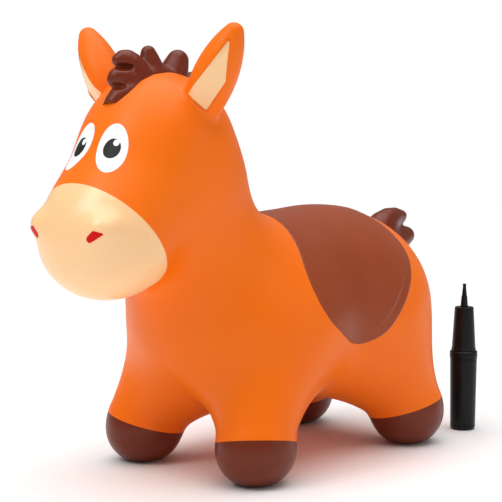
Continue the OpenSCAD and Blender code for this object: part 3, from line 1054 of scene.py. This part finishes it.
for name, field, low, high, node in (
    ("mane_tufts", mane, place(136, -40, 400), place(286, 30, 500), "mane"),
    ("tail_tufts", tail, place(-284, -32, 205), place(-160, 32, 292), "tail"),
):
    points, tris = skin_mesh(field, low, high, TUFT_CELL)
    piece = solid(name, points, tris, field)
    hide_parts(node)
    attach(finish_piece(piece, "brown_vinyl"), "horse")

# %% [markdown]
# ## Eyes and nostrils
# These are thick dabs of gloss paint. Each is a thin walled patch of the skin, lifted a few
# tenths of a millimetre and cut with its outline, which is drawn on a plane that faces it. The
# white lies lowest, the pupil on it, and the glint on top. The glints are on the same side of both
# pupils, because they show one light.

# %% Painted patches
PATCH_CELL = 1.2 * MM
EYE = place(299.3, 24.5, 381.2)
EYE_FACING = np.radians(20), np.radians(35)
EYE_TILT, EYE_HALVES, PUPIL_HALVES = 3, (18.4, 29.2), (10.4, 11.6)
GLINT_ASIDE, GLINT_UP, GLINT_R = 4.2, 6.6, 3.7
NOSTRIL_FACING = np.radians(32), np.radians(10)
NOSTRIL_TILT = 28
NOSTRIL_CIRCLES = [(-6.3, 0.2, 3.6), (0.5, 2.2, 3.4), (9.3, -2.4, 0.9)]
PATCH_DEPTH = 0.4 * MM


def facing_axes(azimuth, elevation):
    """Rows: level to the left of a direction seen from the front, up, and out along it."""
    out = np.array([
        np.cos(azimuth) * np.cos(elevation),
        np.sin(azimuth) * np.cos(elevation),
        np.sin(elevation),
    ])
    level = np.array([-np.sin(azimuth), np.cos(azimuth), 0])
    return np.stack([level, np.cross(out, level), out])


def turned_plane(local, degrees):
    """The first two coordinates turned about the third."""
    turn = np.radians(degrees)
    u = np.cos(turn) * local[:, 0] + np.sin(turn) * local[:, 1]
    return u, np.cos(turn) * local[:, 1] - np.sin(turn) * local[:, 0]


def oval(u, v, half_width, half_height):
    """An ellipse: how far out a point is as a share of the half axes, turned back into a length."""
    share = np.hypot(u / half_width, v / half_height)
    steep = np.hypot(u / half_width**2, v / half_height**2) / np.maximum(share, 1e-9)
    return (share - 1) / np.maximum(steep, 1e-9)


def eye_outline(local, side):
    """A tall oval, a little tilted."""
    return oval(*turned_plane(local, EYE_TILT), *np.array(EYE_HALVES) * MM)


def pupil_outline(local, side):
    """A nearly round oval."""
    return oval(local[:, 0], local[:, 1], *np.array(PUPIL_HALVES) * MM)


def glint_outline(local, side):
    """A circle at the upper edge of the pupil, towards the horse's left on both sides."""
    aside = local[:, 0] - side * GLINT_ASIDE * MM
    return np.hypot(aside, local[:, 1] - GLINT_UP * MM) - GLINT_R * MM


def nostril_outline(local, side):
    """A D lying on its flat side, with its round end towards the middle of the nose."""
    return hull_distance(*turned_plane(local, NOSTRIL_TILT), NOSTRIL_CIRCLES)


def patch(name, slot, node, centre, facing, side, outline, lift, reach):
    """A lifted patch of the left or the right side, with the outline drawn on the left side."""
    axes = facing_axes(*facing)
    flip = np.array([1, side, 1])

    def raised(p):
        return skin(p) - lift

    def mask(p):
        return -outline((p * flip - centre) @ axes.T, side)

    low, high = centre * flip - reach, centre * flip + reach
    p, tris = skin_mesh(raised, low, high, PATCH_CELL)
    p, tris, _, under = cut(p, tris, np.zeros(len(tris), int), raised, mask, PATCH_CELL)
    piece = walled(name, p, tris[under], raised, lift + PATCH_DEPTH)
    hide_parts(node)
    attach(finish_piece(piece, slot), "horse")


PATCHES = (
    ("eye_", "eye_white_", "white_paint", EYE, EYE_FACING, eye_outline, 0.35, 40),
    ("eye_pupil_", "pupil_", "pupil_paint", EYE, EYE_FACING, pupil_outline, 0.55, 18),
    ("eye_light_", "eye_glint_", "white_paint", EYE, EYE_FACING, glint_outline, 0.7, 14),
    ("nose_", "nostril_", "red_paint", NOSTRIL, NOSTRIL_FACING, nostril_outline, 0.35, 18),
)
for side, end in ((LEFT, "left"), (RIGHT, "right")):
    for name, node, slot, centre, facing, outline, lift, reach in PATCHES:
        patch(name + end, slot, node + end, centre, facing, side, outline, lift * MM, reach * MM)

# %% [markdown]
# ## The pump
# A balloon pump is turned plastic: each shell is a closed profile of radius and height, spun
# about the pump's axis. Sharp corners would look like raw CAD, so every corner of a profile gets
# a small round first. The pump's inner parts are exact already, and keep their CAD meshes.

# %% Lathe
TURNS = 96
ROUND_STEPS = 4


def rounded(profile, radius):
    """Cuts each corner of a closed outline with a parabola that starts a radius before it."""
    here = np.array(profile, float)
    before, after = np.roll(here, 1, axis=0), np.roll(here, -1, axis=0)
    room_in = np.linalg.norm(here - before, axis=1, keepdims=True)
    room_out = np.linalg.norm(after - here, axis=1, keepdims=True)
    first = here + (before - here) / room_in * np.minimum(radius, room_in * 0.45)
    last = here + (after - here) / room_out * np.minimum(radius, room_out * 0.45)
    t = np.linspace(0, 1, ROUND_STEPS + 1)[None, :, None]
    arcs = (1 - t) ** 2 * first[:, None] + 2 * t * (1 - t) * here[:, None] + t**2 * last[:, None]
    return arcs.reshape(-1, 2)


def lathe(name, profile, centre, low, radius=0.5):
    """Spins a closed profile of (radius, height) in mm about the upright line through centre.
    The profile runs anticlockwise, with the height upwards, so that its faces point out."""
    outline = rounded(profile, radius)
    turn = np.linspace(0, 2 * np.pi, TURNS, endpoint=False)
    r, z = outline[:, 0], outline[:, 1]
    x = centre[0] + MM * r[None] * np.cos(turn)[:, None]
    y = centre[1] + MM * r[None] * np.sin(turn)[:, None]
    height = np.broadcast_to(low + MM * z, x.shape)
    points = np.stack([x, y, height], axis=-1).reshape(-1, 3)
    i, j = np.meshgrid(np.arange(TURNS), np.arange(len(r)), indexing="ij")
    next_i, next_j = (i + 1) % TURNS, (j + 1) % len(r)
    ring = len(r)
    here, beyond = i * ring, next_i * ring
    faces = np.stack([here + j, beyond + j, beyond + next_j, here + next_j], axis=-1)
    piece = put_mesh(name, points, [faces.reshape(-1, 4)], None)
    print(name, "faces", faces.reshape(-1, 4).shape[0])
    return piece


print("corners of each turned ring", TURNS)

# %% [markdown]
# ## The pump's shells
# The barrel is a tube that widens upwards, and the collar plugs into its top. The grip is a
# tapered handle on the end of the air tube, which slides through the collar. The nozzle's socket
# stands on the grip, and the tip plugs into the socket. Outer radii and heights come from the
# boxes of the CAD nodes. Bands, grooves and bores are given in millimetres.


# %% Pump measures
def pump_box(node):
    """Radius, lowest and highest height of a pump node, from its box in the frame."""
    low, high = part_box(node)
    return (high[0] - low[0]) / 2 / MM, low[2], high[2]


barrel_low, barrel_high = [np.array(corner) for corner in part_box("pump_barrel")]
PUMP_AXIS = (barrel_low + barrel_high) / 2
PUMP_WALL = 2.0
BARREL_BORE_R = pump_box("piston_seal")[0] + 0.05
TUBE_R = pump_box("pump_tube")[0]
STEM_R = TUBE_R - 4.5
NOZZLE_BORE_R, TIP_HOLE_R, TIP_HOLE_DEPTH = 1.6, 2.65, 6.3
TIP_BORE_R, TIP_STUB_R, TIP_STUB, SPIGOT_R, SPIGOT = 1.1, 2.6, 6.0, 2.2, 5.0
BOSS_DEPTH, BOSS_WALL = 20, 1.5
print("bore, tube and stem radii in mm", np.round([BARREL_BORE_R, TUBE_R, STEM_R], 2))


# %% Pump pieces
def make_barrel():
    """A tube that widens a little upwards, with a shallow groove under its top band."""
    r, low, high = pump_box("pump_barrel")
    foot_r = pump_box("pump_base_cap")[0]
    h = (high - low) / MM
    return lathe("barrel_shell", [
        (BARREL_BORE_R, 0), (foot_r - 0.4, 0), (foot_r, 0.5), (r - 0.3, h - 3.2),
        (r - 0.8, h - 2.8), (r - 0.8, h - 2.2), (r, h - 1.8), (r, h), (BARREL_BORE_R, h),
    ], PUMP_AXIS, low, 0.4)


def make_collar():
    """The screwed ring on the barrel's mouth: a band, a groove and a rounded shoulder."""
    r, low, high = pump_box("pump_collar")
    barrel_top = pump_box("pump_barrel")[2]
    hole_r = TUBE_R + 0.05
    inside = (barrel_top - low) / MM
    h = (high - low) / MM
    return lathe("collar_ring", [
        (hole_r, 0), (BARREL_BORE_R, 0), (BARREL_BORE_R, inside), (r - 0.7, inside),
        (r, inside + 0.8), (r, h - 4.2), (r - 0.7, h - 3.9), (r - 0.7, h - 3.3), (r, h - 3.0),
        (r, h - 1.6), (r - 1.5, h), (r - 3.4, h), (r - 3.8, h - 1.2), (hole_r, h - 1.2),
    ], PUMP_AXIS, low, 0.5)


def make_grip():
    """The tapered handle: a foot band, a long flank, a flat top, a wall and the tube's boss."""
    r, low, high = pump_box("pump_grip")
    h = (high - low) / MM
    top_r = r - 3.65
    boss_r = TUBE_R + BOSS_WALL
    ceiling = h - PUMP_WALL
    return lathe("grip_shell", [
        (r - PUMP_WALL, 0), (r, 0), (r, 2.9), (r - 0.7, 3.6), (r - 0.6, 4.6),
        (top_r + 0.1, h - 1.8), (top_r - 0.6, h), (STEM_R, h), (STEM_R, ceiling),
        (TUBE_R, ceiling), (TUBE_R, h - BOSS_DEPTH), (boss_r, h - BOSS_DEPTH),
        (boss_r, ceiling - 2), (top_r - PUMP_WALL, ceiling - 2),
    ], PUMP_AXIS, low, 0.5)


def make_socket():
    """The nozzle's lower half, with a bead where the loose tip starts."""
    r, low, high = pump_box("nozzle_socket")
    stem = (pump_box("pump_grip")[2] - low) / MM
    h = (high - low) / MM
    hole_floor = h - TIP_HOLE_DEPTH
    return lathe("socket_shell", [
        (NOZZLE_BORE_R, 0), (STEM_R, 0), (STEM_R, stem), (r, stem), (r - 1.05, h - 1.6),
        (r - 0.95, h - 1.2), (r - 1.15, h), (TIP_HOLE_R, h), (TIP_HOLE_R, hole_floor),
        (NOZZLE_BORE_R, hole_floor),
    ], PUMP_AXIS, low, 0.3)


def make_tip():
    """The loose tip: a stub in the socket, a tapering body and the straight spigot."""
    r, low, high = pump_box("nozzle_tip")
    h = (high - low) / MM
    return lathe("tip_shell", [
        (TIP_BORE_R, 0), (TIP_STUB_R, 0), (TIP_STUB_R, TIP_STUB), (r, TIP_STUB),
        (r - 0.1, TIP_STUB + 0.8), (SPIGOT_R, h - SPIGOT), (SPIGOT_R, h), (TIP_BORE_R, h),
    ], PUMP_AXIS, low, 0.25)


for make, node, body in (
    (make_barrel, "pump_barrel", "pump_barrel"),
    (make_collar, "pump_collar", "pump_barrel"),
    (make_grip, "pump_grip", "pump_head"),
    (make_socket, "nozzle_socket", "pump_head"),
    (make_tip, "nozzle_tip", "nozzle_tip"),
):
    piece = make()
    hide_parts(node)
    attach(finish_piece(piece, "pump_black"), body)

for node, slot in (
    ("pump_base_cap", "pump_black"),
    ("valve_seat", "valve_vinyl"),
    ("valve_plug", "valve_vinyl"),
    ("pump_tube", "pump_natural"),
    ("pump_piston", "pump_natural"),
    ("piston_seal", "pump_rubber"),
    ("intake_flap", "pump_rubber"),
    ("outlet_flap", "pump_rubber"),
):
    finish_piece(frame["nodes"][node], slot)
print("the valve's two pieces and six pump parts keep their CAD meshes")

# %% [markdown]
# ## Studio
# A white table under soft light: a large key lamp at the camera's upper left, a weaker fill at the
# right, a very wide light from straight above that also keeps the table white, and a pale
# surround that fills the shadows.

# %% Studio
SIDEWAYS = np.array([-np.sin(CAMERA_TURN), np.cos(CAMERA_TURN), 0])
UP = np.array([0, 0, 1.0])
LAMPS = (
    ("key", -1.5, 1.0, 1.7, 0.9, 15),
    ("fill", 1.7, 0.7, 0.6, 1.2, 3),
)
SURROUND_LIGHT = 0.3
OVERHEAD_STRENGTH, OVERHEAD_ANGLE = 2.6, np.radians(70)
FLOOR_R, FLOOR_SIDES, FLOOR_SHADE = 8, 128, 0.93


def make_lamp(name, right, front, up, size, watts):
    """A square lamp, placed by how far it is right, in front and above, as the camera sees it."""
    data = bpy.data.lights.new(name, "AREA")
    data.size = size
    data.energy = watts
    lamp = bpy.data.objects.new(name, data)
    bpy.context.scene.collection.objects.link(lamp)
    level = np.array([np.cos(CAMERA_TURN), np.sin(CAMERA_TURN), 0])
    look_at(lamp, AIM + right * SIDEWAYS + front * level + up * UP, AIM)


def make_overhead():
    """A very wide soft light from straight above, like a ceiling of diffusers."""
    data = bpy.data.lights.new("overhead", "SUN")
    data.energy = OVERHEAD_STRENGTH
    data.angle = OVERHEAD_ANGLE
    lamp = bpy.data.objects.new("overhead", data)
    lamp.location = (0, 0, 2)
    bpy.context.scene.collection.objects.link(lamp)


def make_floor():
    """A wide pale disc under everything."""
    turn = np.linspace(0, 2 * np.pi, FLOOR_SIDES, endpoint=False)
    rim = np.stack([np.cos(turn) * FLOOR_R, np.sin(turn) * FLOOR_R, 0 * turn], axis=1)
    floor = put_mesh("floor", rim, [np.arange(FLOOR_SIDES)[None]], None)
    material = bpy.data.materials.new("floor_paper")
    material.use_nodes = True
    shader = material.node_tree.nodes["Principled BSDF"]
    shader.inputs["Base Color"].default_value = (FLOOR_SHADE, FLOOR_SHADE, FLOOR_SHADE, 1)
    shader.inputs["Roughness"].default_value = 0.7
    floor.data.materials.append(material)


def make_surround():
    """An even pale light from all round, and a white sheet where it is seen directly."""
    world = bpy.data.worlds.new("surround")
    world.use_nodes = True
    tree = world.node_tree
    background = tree.nodes["Background"]
    background.inputs["Color"].default_value = (1, 1, 1, 1)
    seen = add(tree, "ShaderNodeLightPath")
    strength = add(tree, "ShaderNodeMix", data_type="FLOAT")
    strength.inputs[2].default_value = SURROUND_LIGHT
    strength.inputs[3].default_value = 1.0
    tree.links.new(seen.outputs["Is Camera Ray"], strength.inputs["Factor"])
    tree.links.new(strength.outputs[0], background.inputs["Strength"])
    bpy.context.scene.world = world


for lamp in LAMPS:
    make_lamp(*lamp)
make_overhead()
make_floor()
make_surround()
bpy.context.scene.view_settings.view_transform = "Standard"
print("lamps", [lamp[0] for lamp in LAMPS] + ["overhead"])
